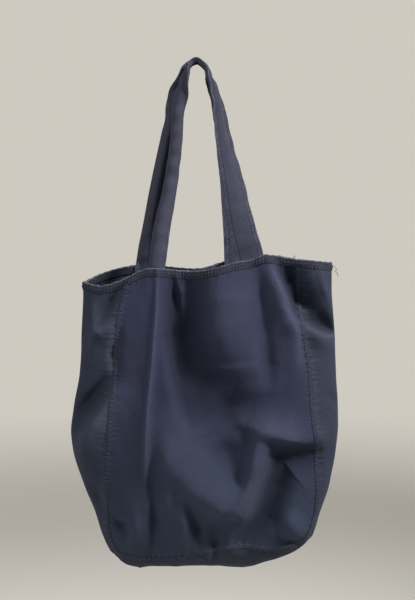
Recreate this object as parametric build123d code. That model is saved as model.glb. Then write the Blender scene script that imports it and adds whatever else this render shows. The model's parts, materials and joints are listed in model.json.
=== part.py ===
from build123d import *
from collections import namedtuple
import math
import os

# Soft canvas tote bag, hanging by its two handles from a hook. Millimetres, +Z up.
# The origin is the hook's axis, where both handles go over it. The front of the bag faces -Y.
# Soft pieces are plain faceted sheets: each is two grids of points, one per face of the cloth.

os.makedirs("parts", exist_ok=True)

# Cloth and sewing
CLOTH = 1.3  # thickness of one layer of canvas
PLAY = 0.15  # gap between two pieces that are sewn face to face
FELL_WIDTH = 6.4  # width of a felled seam
FELL_RISE = 1.2  # how far a felled seam stands out of the cloth
HEM_HEIGHT = 11.0  # the turned edge at the mouth
HEM_THICKNESS = 2.2  # its two turned layers, inside the panels
THREAD = 0.7  # width of a row of stitches
THREAD_RISE = 0.3  # how far the thread stands out of the cloth
FELL_ROWS = (-2.2, 2.2)  # the two rows of a felled seam, from its middle
HEM_ROWS = (2.6, 8.4)  # the two rows of the hem, below its edge

# Bag body. Each level is one height, with the x of its left edge, left seam, right seam and right edge,
# and half its depth front to back. The lowest four make the rounded bottom.
Level = namedtuple("Level", "height left left_seam right_seam right depth")
LEVELS = [
    Level(-230, -150, -86, 133, 177, 30),
    Level(-290, -151, -93, 134, 179, 39),
    Level(-343, -152.5, -103, 138, 183, 49),
    Level(-400, -156, -106, 147, 186, 58),
    Level(-451, -164, -111, 150, 187.5, 64),
    Level(-485, -167.5, -114, 155, 187, 66),
    Level(-521, -162, -117, 157, 182, 65),
    Level(-556, -150, -119, 157, 174, 61),
    Level(-592, -135, -119, 153, 163, 53),
    Level(-620, -126, -114, 144, 154, 44),
    Level(-634, -121, -109, 135, 144, 37),
    Level(-650, -110, -98, 112, 121, 26),
    Level(-660, -98, -87, 84, 93, 15),
    Level(-665, -80, -70, 60, 70, 6),
]
SQUARENESS = 2.4  # 2 makes each level an ellipse, more makes it squarer
BASE_TOP = -632.0  # the seam between the panels and the base
BASE_HEIGHTS = (-665.0, -660.0, -650.0, -641.0, BASE_TOP)
WALL_ROWS = 8  # rows of facets from the base up to the hem
PANEL_COLUMNS = 8
GUSSET_COLUMNS = 10

# The mouth's edge, left to right: it droops at the left and is pulled up at each handle.
RIM = [(-190, -284), (-151, -283), (-124, -287), (-80, -268), (-60, -264), (-20, -268), (15, -266)]
RIM += [(60, -258), (88, -252.5), (112, -255.5), (150, -259), (215, -262)]
RIM_MIDDLE = -265.0  # a height near the whole edge

# Handles
STRAP_WIDTH = 38.0
STRAP_THICKNESS = 2.4
HOOK_RADIUS = 7.5  # the hook that the handles go over
BUNCHED_WIDTH = 20.0  # a strap bunches up where it goes over the hook
BUNCHED_THICKNESS = 4.0
HOOK_GAP = 2.0  # between the two handles on the hook
LEG_ROWS = 8
HOOK_ROWS = 14
STRAP_ROWS = (2.5, 6.5)  # rows of stitches, in from each edge of a strap
TAIL_LENGTH = 42.0  # the strap's sewn ends reach this far down inside the bag
TAIL_ROWS = (14.0, 38.0)  # rows of stitches across each end, below the mouth's edge
TAIL_COLUMNS = 2
TAIL_INSET = 4.6  # depth of a tail's outer face, inside the hem
HINGE_INSET = 1.0  # the handle folds over the rim on a line this far inside the bag's outer face
BASE_CLEARANCE = 1.4  # from that line up to the handle's lower end

Handle = namedtuple("Handle", "name facing left right")
HANDLES = [
    Handle("front", -1, (-58, -261.5), (69, -251.5)),
    Handle("back", 1, (-62, -261.5), (60, -253.5)),
]
Frame = namedtuple("Frame", "place across away width thickness")


def level_at(height):
    """The level at any height, on a smooth curve through LEVELS."""
    last = len(LEVELS) - 1
    spot = next((i for i in range(last) if height >= LEVELS[i + 1].height), last - 1)
    before = LEVELS[max(spot - 1, 0)]
    above = LEVELS[spot]
    below = LEVELS[spot + 1]
    after = LEVELS[min(spot + 2, last)]
    share = (above.height - height) / (above.height - below.height)
    values = []
    for a, b, c, d in zip(before, above, below, after):
        bend = 2 * a - 5 * b + 4 * c - d + (3 * b - a - 3 * c + d) * share
        values.append(b + 0.5 * share * (c - a + share * bend))
    return Level(height, *values[1:])


def turn_at(level, x):
    """The turn round the bag, from its right edge towards its front, at which the front has this x."""
    middle = (level.left + level.right) / 2
    share = (x - middle) / ((level.right - level.left) / 2)
    return math.acos(math.copysign(abs(share) ** (SQUARENESS / 2), share))


def skin(level, turn, inset):
    """A point that far inside the bag's outer face, or outside it where inset is negative."""
    reach = (level.right - level.left) / 2
    cosine = math.cos(turn)
    sine = math.sin(turn)
    power = 2 / SQUARENESS
    x = (level.left + level.right) / 2 + reach * math.copysign(abs(cosine) ** power, cosine)
    y = -level.depth * math.copysign(abs(sine) ** power, sine)
    across = math.copysign(abs(cosine) ** (2 - power), cosine) / reach
    along = -math.copysign(abs(sine) ** (2 - power), sine) / level.depth
    size = math.hypot(across, along)
    return Vector(x - inset * across / size, y - inset * along / size, level.height)


def turn_for(level, turn, distance):
    """How much turn makes that distance along the skin."""
    nudge = 0.001
    return distance * nudge / (skin(level, turn + nudge, 0) - skin(level, turn, 0)).length


def rim_height(x):
    """The height of the mouth's edge at this x."""
    spot = next(i for i in range(1, len(RIM)) if x <= RIM[i][0])
    low, high = RIM[spot - 1], RIM[spot]
    return low[1] + (high[1] - low[1]) * (x - low[0]) / (high[0] - low[0])


# A column is a function that gives its turn round the bag at a level. A row is a function that gives its
# height from the height of the mouth's edge above it.


def seam_turns(level, side):
    """The turns at which one panel or gusset starts and ends."""
    right = turn_at(level, level.right_seam)
    left = turn_at(level, level.left_seam)
    back_left = 2 * math.pi - left
    back_right = 2 * math.pi - right
    spans = {"front": (right, left), "left": (left, back_left), "back": (back_left, back_right)}
    return spans.get(side, (-right, right))


def side_columns(side, play=PLAY):
    """Even columns over one panel or gusset, just clear of its neighbours."""
    count = PANEL_COLUMNS if side in ("front", "back") else GUSSET_COLUMNS

    def column(share):
        def turn(level):
            first, final = seam_turns(level, side)
            first += turn_for(level, first, play / 2)
            final -= turn_for(level, final, play / 2)
            return first + (final - first) * share

        return turn

    return [column(i / count) for i in range(count + 1)]


def ring_columns():
    """Columns all round the bag."""
    return [column for side in SIDES for column in side_columns(side, 0)[:-1]]


def line_columns(x_at, facing, distances):
    """Columns at distances along the skin from a line that has the x x_at(level) on the front or back."""

    def column(distance):
        def turn(level):
            middle = -facing * turn_at(level, x_at(level))
            return middle + turn_for(level, middle, distance)

        return turn

    return [column(distance) for distance in distances]


def fixed_row(height):
    return lambda rim: height


def wall_row(share):
    return lambda rim: BASE_TOP + PLAY + (rim - HEM_HEIGHT - BASE_TOP - PLAY) * share


def rim_row(drop):
    return lambda rim: rim - drop


WALL = [wall_row(i / WALL_ROWS) for i in range(WALL_ROWS + 1)]


def grid(columns, rows, inset):
    """Points at one depth in the skin, row by row."""
    middle = level_at(RIM_MIDDLE)
    rims = [rim_height(skin(middle, column(middle), 0).X) for column in columns]
    points = []
    for row in rows:
        levels = [level_at(row(rim)) for rim in rims]
        points.append([skin(level, column(level), inset) for level, column in zip(levels, columns)])
    return points


def facets(lower, upper, ring):
    """Two triangles for each step between two rows of points."""
    count = len(lower) if ring else len(lower) - 1
    triangles = []
    for i in range(count):
        j = (i + 1) % len(lower)
        triangles += [(lower[i], lower[j], upper[j]), (lower[i], upper[j], upper[i])]
    return triangles


def closed(outer, inner, ring=False, floor=False):
    """The solid between two grids: an open strip, a ring, or with a floor a bowl."""
    triangles = []
    for face in (outer, inner):
        for lower, upper in zip(face, face[1:]):
            triangles += facets(lower, upper, ring)
    triangles += facets(outer[-1], inner[-1], ring)
    if not floor:
        triangles += facets(outer[0], inner[0], ring)
    if not ring:
        for end in (0, -1):
            triangles += facets([row[end] for row in outer], [row[end] for row in inner], False)
    faces = [Face(Wire.make_polygon(triangle)) for triangle in triangles]
    if floor:
        faces += [Face(Wire.make_polygon(face[0])) for face in (outer, inner)]
    return Solid(Shell(faces))


def sheet(columns, rows, outer, inner, ring=False):
    return closed(grid(columns, rows, outer), grid(columns, rows, inner), ring)


def panel(side):
    """One panel or gusset, from the base seam up to the mouth's edge."""
    return sheet(side_columns(side), WALL + [rim_row(0)], 0, CLOTH)


def base():
    """The base, a shallow boat-shaped piece that the panels are sewn to."""
    outer = grid(ring_columns(), [fixed_row(height) for height in BASE_HEIGHTS], 0)
    inner = grid(ring_columns(), [fixed_row(height) for height in BASE_HEIGHTS], CLOTH)
    raised = [[point + Vector(0, 0, CLOTH) for point in row] for row in inner[:-1]]
    return closed(outer, raised + [inner[-1]], ring=True, floor=True)


def hem():
    """The mouth's edge, turned inwards twice, as one ring inside the panels."""
    depth = CLOTH + PLAY
    return sheet(ring_columns(), [rim_row(HEM_HEIGHT), rim_row(0)], depth, depth + HEM_THICKNESS, True)


def hem_stitches():
    """Two rows of stitches round the outside of the hem."""
    rows = []
    for drop in HEM_ROWS:
        edges = [rim_row(drop + THREAD / 2), rim_row(drop - THREAD / 2)]
        rows.append(sheet(ring_columns(), edges, -PLAY - THREAD_RISE, -PLAY, True))
    return Compound(children=rows)


def upright_seam(edge, facing):
    """A felled seam between a panel and a gusset, from the base up to the hem."""
    columns = line_columns(lambda level: getattr(level, edge), facing, (-FELL_WIDTH / 2, 0, FELL_WIDTH / 2))
    rows = [fixed_row(BASE_TOP + FELL_WIDTH / 2 + PLAY)] + WALL[1:]
    return sheet(columns, rows, -PLAY - FELL_RISE, -PLAY)


def upright_stitches(edge, facing):
    """The two rows of stitches of an upright seam."""
    top = -2 * PLAY - FELL_RISE
    lines = [fixed_row(BASE_TOP + FELL_WIDTH / 2 + PLAY)] + WALL[1:]
    rows = []
    for middle in FELL_ROWS:
        distances = (middle - THREAD / 2, middle + THREAD / 2)
        columns = line_columns(lambda level: getattr(level, edge), facing, distances)
        rows.append(sheet(columns, lines, top - THREAD_RISE, top))
    return Compound(children=rows)


def base_seam(side):
    """The felled seam between one panel or gusset and the base."""
    heights = (BASE_TOP - FELL_WIDTH / 2, BASE_TOP, BASE_TOP + FELL_WIDTH / 2)
    return sheet(side_columns(side), [fixed_row(height) for height in heights], -PLAY - FELL_RISE, -PLAY)


def base_stitches(side):
    """The two rows of stitches of a base seam."""
    top = -2 * PLAY - FELL_RISE
    rows = []
    for middle in FELL_ROWS:
        heights = (BASE_TOP + middle - THREAD / 2, BASE_TOP + middle + THREAD / 2)
        lines = [fixed_row(height) for height in heights]
        rows.append(sheet(side_columns(side), lines, top - THREAD_RISE, top))
    return Compound(children=rows)


def tail_columns(handle, x, width):
    distances = [width * (i / TAIL_COLUMNS - 0.5) for i in range(TAIL_COLUMNS + 1)]
    return line_columns(lambda level: x, handle.facing, distances)


def tail(handle, x):
    """The end of a strap, sewn flat inside the hem."""
    rows = [rim_row(TAIL_LENGTH), rim_row(HEM_HEIGHT), rim_row(PLAY)]
    return sheet(tail_columns(handle, x, STRAP_WIDTH), rows, TAIL_INSET, TAIL_INSET + STRAP_THICKNESS)


def tail_stitches():
    """Two rows of stitches across each strap end, inside the bag."""
    rows = []
    face = TAIL_INSET + STRAP_THICKNESS + 2 * PLAY
    for handle in HANDLES:
        for x, _ in (handle.left, handle.right):
            columns = tail_columns(handle, x, STRAP_WIDTH - 2 * STRAP_ROWS[0])
            for drop in TAIL_ROWS:
                edges = [rim_row(drop + THREAD), rim_row(drop)]
                rows.append(sheet(columns, edges, face, face + THREAD_RISE))
    return Compound(children=rows)


def hinge_point(handle, end):
    """The point under one end of a handle on the line that it folds over."""
    x, z = end
    level = level_at(z)
    y = handle.facing * abs(skin(level, turn_at(level, x), HINGE_INSET).Y)
    return Vector(x, y, z)


def leg_lean(handle, side):
    """How far a leg leans from upright."""
    end = handle.left if side < 0 else handle.right
    return math.atan((abs(end[0]) - HOOK_RADIUS - BUNCHED_THICKNESS / 2) / -end[1])


def leg_frame(handle, side, share):
    """The strap's frame, from the hook down one leg. It turns from edge-on at the hook to flat below."""
    end = handle.left if side < 0 else handle.right
    fold = (hinge_point(handle, handle.right) - hinge_point(handle, handle.left)).normalized()
    radius = HOOK_RADIUS + BUNCHED_THICKNESS / 2
    lean = leg_lean(handle, side)
    hook_y = handle.facing * (HOOK_GAP + BUNCHED_WIDTH) / 2
    top = Vector(side * radius * math.cos(lean), hook_y, radius * math.sin(lean))
    sewn = TAIL_INSET - HINGE_INSET + STRAP_THICKNESS / 2
    bottom = hinge_point(handle, end) + Vector(0, -handle.facing * sewn, BASE_CLEARANCE)
    twist = math.pi / 2 * share * share * (3 - 2 * share)
    down = Vector(side * math.sin(lean), 0, -math.cos(lean)) * (1 - share) + Vector(0, 0, -1) * share
    across = Vector(0, 1, 0) * math.cos(twist) + fold * -handle.facing * side * math.sin(twist)
    across = (across - down * (across.dot(down) / down.dot(down))).normalized()
    away = down.cross(across).normalized() * side
    width = BUNCHED_WIDTH + (STRAP_WIDTH - BUNCHED_WIDTH) * share
    thickness = BUNCHED_THICKNESS + (STRAP_THICKNESS - BUNCHED_THICKNESS) * share
    return Frame(top + (bottom - top) * share, across, away, width, thickness)


def hook_frame(handle, turn):
    """The strap's frame where it goes over the hook."""
    away = Vector(math.cos(turn), 0, math.sin(turn))
    hook_y = handle.facing * (HOOK_GAP + BUNCHED_WIDTH) / 2
    place = away * (HOOK_RADIUS + BUNCHED_THICKNESS / 2) + Vector(0, hook_y, 0)
    return Frame(place, Vector(0, 1, 0), away, BUNCHED_WIDTH, BUNCHED_THICKNESS)


def strap_points(frames, columns, height):
    """Points on a strap, where columns are (sign, inset from the edge) and height is above its middle."""
    points = []
    for frame in frames:
        middle = frame.place + frame.away * height(frame)
        points.append([middle + frame.across * sign * (frame.width / 2 - inset) for sign, inset in columns])
    return points


def strap_columns():
    """The strap's edges and both edges of every row of stitches, from one side to the other."""
    insets = [0] + [inset + half for inset in STRAP_ROWS for half in (-THREAD / 2, THREAD / 2)]
    return [(-1, inset) for inset in insets] + [(1, inset) for inset in reversed(insets)]


def strap(handle):
    """A handle: two twisted legs and the bend over the hook."""
    pieces = []
    for side in (-1, 1):
        frames = [leg_frame(handle, side, i / LEG_ROWS) for i in range(LEG_ROWS + 1)]
        outer = strap_points(frames, strap_columns(), lambda frame: frame.thickness / 2)
        inner = strap_points(frames, strap_columns(), lambda frame: -frame.thickness / 2)
        pieces.append(closed(outer, inner))
    start = leg_frame(handle, -1, 0)
    section = Plane(start.place, start.across, start.away.cross(start.across))
    face = section * Rectangle(start.width, start.thickness)
    bend = math.pi - leg_lean(handle, -1) - leg_lean(handle, 1)
    return revolve(face, Axis.Y, math.degrees(bend)) + pieces[0] + pieces[1]


def strap_stitches(handle):
    """Double rows of stitches along both edges of a handle, on the face away from the hook."""
    first = math.pi - leg_lean(handle, -1)
    final = leg_lean(handle, 1)
    frames = [leg_frame(handle, -1, 1 - i / LEG_ROWS) for i in range(LEG_ROWS)]
    frames += [hook_frame(handle, first + (final - first) * i / HOOK_ROWS) for i in range(HOOK_ROWS)]
    frames += [leg_frame(handle, 1, i / LEG_ROWS) for i in range(LEG_ROWS + 1)]
    rows = []
    for sign in (-1, 1):
        for inset in STRAP_ROWS:
            edges = [(sign, inset - THREAD / 2), (sign, inset + THREAD / 2)]
            edges = edges if sign < 0 else edges[::-1]
            top = strap_points(frames, edges, lambda frame: frame.thickness / 2 + PLAY + THREAD_RISE)
            bottom = strap_points(frames, edges, lambda frame: frame.thickness / 2 + PLAY)
            rows.append(closed(top, bottom))
    return Compound(children=rows)


SIDES = ("front", "left", "back", "right")

for side in SIDES:
    name = side + ("_panel" if side in ("front", "back") else "_gusset")
    export_step(panel(side), f"parts/{name}.step")
    export_step(base_seam(side), f"parts/{side}_base_seam.step")
    export_step(base_stitches(side), f"parts/{side}_base_stitches.step")

for handle in HANDLES:
    for side, end in (("left", handle.left), ("right", handle.right)):
        place = f"{handle.name}_{side}"
        export_step(upright_seam(f"{side}_seam", handle.facing), f"parts/{place}_seam.step")
        export_step(upright_stitches(f"{side}_seam", handle.facing), f"parts/{place}_seam_stitches.step")
        export_step(tail(handle, end[0]), f"parts/{place}_strap_end.step")
    export_step(strap(handle), f"parts/{handle.name}_handle.step")
    export_step(strap_stitches(handle), f"parts/{handle.name}_handle_stitches.step")

export_step(base(), "parts/base_panel.step")
export_step(hem(), "parts/mouth_hem.step")
export_step(hem_stitches(), "parts/mouth_hem_stitches.step")
export_step(tail_stitches(), "parts/strap_end_stitches.step")

for handle in HANDLES:
    left = hinge_point(handle, handle.left)
    right = hinge_point(handle, handle.right)
    print(handle.name, "handle folds on the line from", left, "to", right)
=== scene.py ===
import json
import math
import bpy
import numpy as np
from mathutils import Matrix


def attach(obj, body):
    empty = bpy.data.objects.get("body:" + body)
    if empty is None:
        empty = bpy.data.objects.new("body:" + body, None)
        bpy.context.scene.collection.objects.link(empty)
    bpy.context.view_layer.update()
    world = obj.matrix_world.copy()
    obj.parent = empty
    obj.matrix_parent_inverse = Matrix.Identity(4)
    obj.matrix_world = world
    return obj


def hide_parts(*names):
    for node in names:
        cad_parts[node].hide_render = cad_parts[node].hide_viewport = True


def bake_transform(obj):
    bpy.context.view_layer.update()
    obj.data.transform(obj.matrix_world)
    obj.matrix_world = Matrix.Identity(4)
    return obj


# A washed navy canvas tote bag, hanging limp by its two handles. Lengths are in millimetres until a mesh
# is made. X is to the right seen from the front, the front faces -Y, and heights are along Z.

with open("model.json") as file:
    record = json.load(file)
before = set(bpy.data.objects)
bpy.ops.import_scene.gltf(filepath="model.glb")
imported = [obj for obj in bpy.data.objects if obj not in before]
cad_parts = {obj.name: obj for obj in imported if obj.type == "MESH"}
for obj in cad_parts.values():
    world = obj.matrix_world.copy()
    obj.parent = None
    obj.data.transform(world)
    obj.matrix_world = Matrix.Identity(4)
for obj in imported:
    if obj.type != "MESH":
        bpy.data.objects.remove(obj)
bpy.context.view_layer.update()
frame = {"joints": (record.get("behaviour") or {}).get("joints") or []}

MM = 0.001
random = np.random.default_rng(7)

# ---------------------------------------------------------------- body shape

# One row per height: x of the left edge, left seam, right seam and right edge, and half the depth.
LEVELS = np.array([
    (-230, -150, -86, 133, 177, 30),
    (-290, -151, -93, 134, 179, 38),
    (-343, -152.5, -103, 138, 182, 48),
    (-400, -156, -106, 147, 185, 56),
    (-451, -164, -111, 150, 187, 61),
    (-485, -167.5, -114, 155, 187, 62),
    (-521, -161, -117, 157, 182.5, 61),
    (-556, -147.5, -118, 158, 174, 58),
    (-592, -135, -118, 154, 163.5, 51),
    (-620, -126, -114, 143, 153, 43),
    (-634, -119, -108, 131, 141, 37),
    (-648, -107, -97, 106, 116, 26),
    (-657, -93, -84, 76, 86, 15),
    (-661.5, -76, -68, 52, 62, 5),
], float)
SQUARENESS = 2.4  # 2 makes each height an ellipse, more makes it squarer
HEM_HEIGHT = 10.5
CLOTH = 1.2
# Heights near the mouth's edge and near the base seam, and the lowest height of the bottom.
MOUTH_HEIGHT, FOOT_HEIGHT, BOTTOM_HEIGHT = -265.0, -634.0, -661.4

# The mouth's edge, as (x, height).
FRONT_RIM = [(-190, -283), (-151, -281), (-124, -285), (-108, -281), (-95, -276), (-84, -270), (-64, -262),
             (-50, -262), (-20, -265), (5, -265), (27, -260), (50, -254), (72, -250), (89, -244), (100, -245),
             (121, -249), (150, -252), (179, -255), (215, -255)]
BACK_RIM = [(-190, -283), (-151, -281), (-134, -273), (-110, -265), (-85, -260), (-60, -259), (-30, -263),
            (10, -263), (30, -257), (58, -250), (90, -257), (130, -262), (179, -255), (215, -255)]
# The seam between the panels and the base.
FRONT_FOOT = [(-135, -640), (-112, -640), (-72, -646), (-16, -641), (20, -632), (55, -627), (97, -632),
              (130, -624), (160, -612)]
BACK_FOOT = [(-135, -640), (-60, -645), (40, -641), (160, -612)]


def smooth(points, at):
    """A smooth curve through points with rising x."""
    xs, ys = np.array(points, float).T
    slopes = np.gradient(ys, xs)
    spot = np.clip(np.searchsorted(xs, at) - 1, 0, len(xs) - 2)
    step = xs[spot + 1] - xs[spot]
    t = np.clip((at - xs[spot]) / step, 0, 1)
    rise = ys[spot] * (2 * t**3 - 3 * t**2 + 1) + ys[spot + 1] * (3 * t**2 - 2 * t**3)
    return rise + step * (slopes[spot] * (t**3 - 2 * t**2 + t) + slopes[spot + 1] * (t**3 - t**2))


def profile(column, height):
    """One column of LEVELS, such as the left edge, at a height."""
    return smooth(LEVELS[::-1][:, (0, column)], height)


def turn_at(height, seam):
    """The turn round the bag at which a seam lies, from the right edge towards the front."""
    left, right = profile(1, height), profile(4, height)
    share = (profile(2 if seam == "left" else 3, height) - (left + right) / 2) / ((right - left) / 2)
    return np.arccos(np.sign(share) * np.abs(share) ** (SQUARENESS / 2))


def plain(turn, height):
    """The bag's shape without its folds."""
    left, right = profile(1, height), profile(4, height)
    cosine, sine = np.cos(turn), np.sin(turn)
    power = 2 / SQUARENESS
    x = (left + right) / 2 + (right - left) / 2 * np.sign(cosine) * np.abs(cosine) ** power
    y = -profile(5, height) * np.sign(sine) * np.abs(sine) ** power
    return x, y


# ---------------------------------------------------------------- folds


def step(low, high, value):
    """A smooth step from 0 at low to 1 at high."""
    t = np.clip((value - low) / (high - low), 0, 1)
    return t * t * (3 - 2 * t)


def nearest(x, z, path):
    """Distance to a path, its side and how far along.

    The side goes from -1 on the left of a downward path, as seen from the front, to 1 on its right.
    """
    path = np.array(path, float)
    best = np.full(np.shape(x), 1e9)
    side = np.zeros(np.shape(x))
    along = np.zeros(np.shape(x))
    for i in range(len(path) - 1):
        start, run = path[i, :2], path[i + 1, :2] - path[i, :2]
        t = np.clip(((x - start[0]) * run[0] + (z - start[1]) * run[1]) / (run @ run), 0, 1)
        dx, dz = x - start[0] - t * run[0], z - start[1] - t * run[1]
        distance = np.hypot(dx, dz)
        nearer = distance < best
        across = (run[0] * dz - run[1] * dx) / np.hypot(*run)
        side = np.where(nearer, across / (distance + 0.5), side)
        along = np.where(nearer, i + t, along)
        best = np.minimum(best, distance)
    return best, side, along


def fold(x, z, path, left, right, sharp=2.0):
    """A ridge or valley along (x, z, height) points, as wide as left and right on its two sides."""
    distance, side, along = nearest(x, z, path)
    heights = np.interp(along, range(len(path)), [point[2] for point in path])
    width = left + (right - left) * step(-1, 1, side)
    return heights * np.exp(-((np.sqrt(distance**2 + 1.0) / width) ** sharp))


# Each fold is (points of (x, height, rise), width on the left
# of a downward path, width on its right, sharpness).
FRONT_FOLDS = [
    # the pull of the left handle, a long crease
    ([(-50, -256, 4), (-51, -310, 8), (-56, -380, 9), (-62, -440, 9), (-65, -500, 7), (-67, -545, 1)],
     24, 5, 1.3),
    ([(-51, -262, 2), (-52, -310, 4), (-57, -380, 4), (-63, -440, 4), (-66, -500, 3), (-68, -545, 0)],
     3.2, 3.2, 2),
    # the deep valley between the handles, and the slope up to the bulge
    ([(-26, -258, -7), (-26, -300, -20), (-27, -350, -27), (-20, -400, -25), (-10, -445, -14), (0, -475, -1)],
     13, 38, 2.6),
    ([(-28, -268, 2), (-21, -292, 9), (-19, -322, 2)], 5, 5, 2),
    # the bulge under the right handle, and the hollow below it
    ([(40, -254, 6), (36, -300, 15), (38, -335, 14), (44, -375, 7), (52, -410, 0)], 34, 44, 2.6),
    ([(80, -262, -2), (86, -330, -8), (92, -385, -10), (92, -420, -2)], 10, 10, 2),
    # a broad, shallow ridge and hollow below the bulge
    ([(72, -340, 0), (78, -380, 4), (80, -420, 6), (76, -445, 2)], 34, 20, 2),
    ([(20, -350, 0), (32, -395, -8), (44, -440, -7), (52, -462, -2)], 24, 22, 2),
    ([(20, -425, -2), (40, -440, -12), (76, -436, -10)], 34, 26, 2),
    # the right handle's pull down to the seam
    ([(92, -254, 8), (104, -280, 15), (117, -312, 16), (127, -345, 11), (134, -400, 5), (138, -440, 1)],
     18, 8, 2.2),
    # the hollow beside it, which runs into the right gusset
    ([(109, -262, -14), (118, -282, -25), (129, -304, -23)], 6, 24, 2.4),
    ([(128, -318, -10), (142, -328, -18), (162, -338, -24), (190, -349, -26)], 4, 22, 2),
    ([(130, -332, 5), (160, -348, 12), (190, -358, 14)], 16, 4, 2),
    ([(163, -270, 2), (170, -292, 6), (178, -312, 1)], 6, 6, 2),
    # the sagging swag across the lower front
    ([(-42, -474, 7), (-27, -504, 18), (0, -540, 20), (32, -568, 16), (54, -576, 9)], 20, 32, 2),
    ([(-34, -510, 4), (-38, -560, 6), (-38, -600, 2)], 14, 9, 2),
    ([(54, -572, 8), (66, -546, 12), (74, -512, 14), (80, -480, 12)], 20, 9, 2),
    ([(62, -462, 6), (88, -470, 17), (116, -479, 18), (144, -486, 6)], 8.5, 24, 1.9),
    ([(40, -500, -9), (50, -528, -8)], 17, 17, 2),
    ([(165, -506, -8), (110, -510, -19), (100, -542, -22), (84, -582, -20), (60, -616, -10)], 16, 24, 2.2),
    ([(126, -598, 12), (128, -602, 12)], 16, 16, 2),
    # small folds down to the base seam
    ([(-18, -560, 3), (-18, -590, 7), (-18, -628, 3)], 12, 9, 2),
    ([(-12, -566, -2), (0, -602, -10), (6, -630, -2)], 6, 8, 2),
    ([(22, -604, -4), (24, -624, -13), (28, -650, -5)], 10, 12, 2),
    ([(-58, -535, -2), (-54, -590, -9), (-60, -640, -2)], 7, 8, 2),
    ([(-84, -560, 1), (-80, -600, 6), (-86, -635, 2)], 8, 9, 2),
    ([(-112, -585, -1), (-98, -600, -8), (-90, -612, -1)], 6, 6, 2),
    ([(100, -612, 1), (122, -622, -7), (144, -628, -2)], 7, 7, 2),
    ([(5, -388, 1), (40, -391, 3), (75, -386, 1)], 9, 5, 2),
    # the left gusset and its seam
    ([(-108, -424, 7), (-134, -462, 20), (-166, -505, 20)], 9, 20, 1.8),
    ([(-118, -408, -6), (-140, -432, -14), (-168, -466, -14)], 8, 14, 2),
    ([(-96, -285, -2), (-112, -305, -10), (-130, -330, -3)], 7, 7, 2),
    ([(-108, -334, 2), (-128, -344, 10), (-150, -352, 2)], 7, 12, 2),
    ([(-100, -335, -2), (-108, -372, -10), (-106, -400, -2)], 6, 8, 2),
    ([(-140, -300, 1), (-136, -330, 6), (-140, -380, 1)], 8, 8, 2),
    ([(-150, -540, 1), (-132, -560, -8), (-120, -590, 0)], 8, 8, 2),
    ([(168, -425, -1), (188, -440, -8)], 7, 7, 2),
    ([(165, -480, 2), (172, -530, 6), (162, -575, 1)], 9, 9, 2),
]
BACK_FOLDS = [
    ([(-60, -258, 3), (-58, -330, 7), (-50, -430, 7), (-46, -520, 2)], 14, 20, 1.6),
    ([(58, -258, 3), (62, -340, 8), (74, -430, 6), (80, -500, 1)], 18, 12, 1.6),
    ([(0, -266, -6), (4, -340, -10), (12, -430, -5)], 24, 22, 2.2),
    ([(-90, -480, 2), (-30, -540, 8), (30, -560, 8), (100, -500, 2)], 14, 18, 2),
    ([(120, -300, 1), (138, -400, 5), (130, -500, 1)], 12, 12, 2),
    ([(-118, -330, 1), (-110, -420, 5), (-122, -500, 1)], 10, 12, 2),
    ([(20, -580, -4), (10, -640, -5)], 10, 10, 2),
    ([(-70, -590, -4), (-60, -640, -5)], 9, 9, 2),
    ([(90, -580, -3), (80, -635, -5)], 9, 9, 2),
]
# Small waves all over, each with its direction, phase and length.
WAVES = 26
wave_turns = random.uniform(0, 2 * math.pi, WAVES)
wave_phases = random.uniform(0, 2 * math.pi, WAVES)
wave_lengths = random.uniform(16, 70, WAVES)


def ripples(x, z, shift=0.0):
    """Small uneven waves all over the cloth, about 1 high."""
    total = np.zeros(np.shape(x))
    for turn, phase, length in zip(wave_turns, wave_phases, wave_lengths):
        phase = phase + shift * (1 + turn)
        across = x * np.cos(turn) + z * 0.6 * np.sin(turn)
        total += np.sin(across * 2 * math.pi / length + phase) * length / 70
    return total / math.sqrt(WAVES)


# Folds stand at most SOFT_LIMIT + LIMIT_ROOM in front of the middle of the bag.
SOFT_LIMIT, LIMIT_ROOM = 64.0, 11.0
RIPPLE = 0.9
# The sine of the turn from which the front or back folds are at their full depth.
FULL_FACE = 0.55


def body(turn, height, with_rise=False):
    """The bag's outer face with its folds, as points, and how far they rise from the plain shape."""
    x, y = plain(turn, height)
    front = step(0.0, FULL_FACE, np.sin(turn))
    back = step(0.0, FULL_FACE, -np.sin(turn))
    rise = ripples(x, height) * front * RIPPLE + ripples(x, height, 2.0) * back * RIPPLE
    for points, left, right, sharp in FRONT_FOLDS:
        rise = rise + fold(x, height, points, left, right, sharp) * front
    depth_in = np.zeros(np.shape(x))
    for points, left, right, sharp in BACK_FOLDS:
        depth_in = depth_in + fold(x, height, points, left, right, sharp) * back
    side = (1 - front) * (1 - back)
    across = np.sign(np.cos(turn)) * side * ripples(y, height, 4.0)
    forward = np.maximum(-y + rise - SOFT_LIMIT, 0)
    y = y - rise + depth_in + forward - LIMIT_ROOM * np.tanh(forward / LIMIT_ROOM)
    points = np.stack([x + across, y, height], -1)
    return (points, rise + depth_in) if with_rise else points


def unit(vectors):
    return vectors / np.linalg.norm(vectors, axis=-1, keepdims=True)


def facing(turn, height):
    """Outward unit normals of the body."""
    turned, raised = 0.004, 0.8
    along = body(turn + turned, height) - body(turn - turned, height)
    up = body(turn, height + raised) - body(turn, height - raised)
    return unit(np.cross(up, along))


def edge_height(turn, front_points, back_points, near):
    """The height of the mouth or the base seam at a turn round the bag, which is near a plain height."""
    x, _ = plain(turn, np.full(np.shape(turn), near))
    front = smooth(front_points, x)
    back = smooth(back_points, x)
    return back + (front - back) * step(-0.35, 0.35, np.sin(turn))


def rim(turn):
    """The height of the mouth's edge."""
    return edge_height(turn, FRONT_RIM, BACK_RIM, MOUTH_HEIGHT)


def foot(turn):
    """The height of the base seam."""
    return edge_height(turn, FRONT_FOOT, BACK_FOOT, FOOT_HEIGHT)


# ---------------------------------------------------------------- meshes


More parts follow.
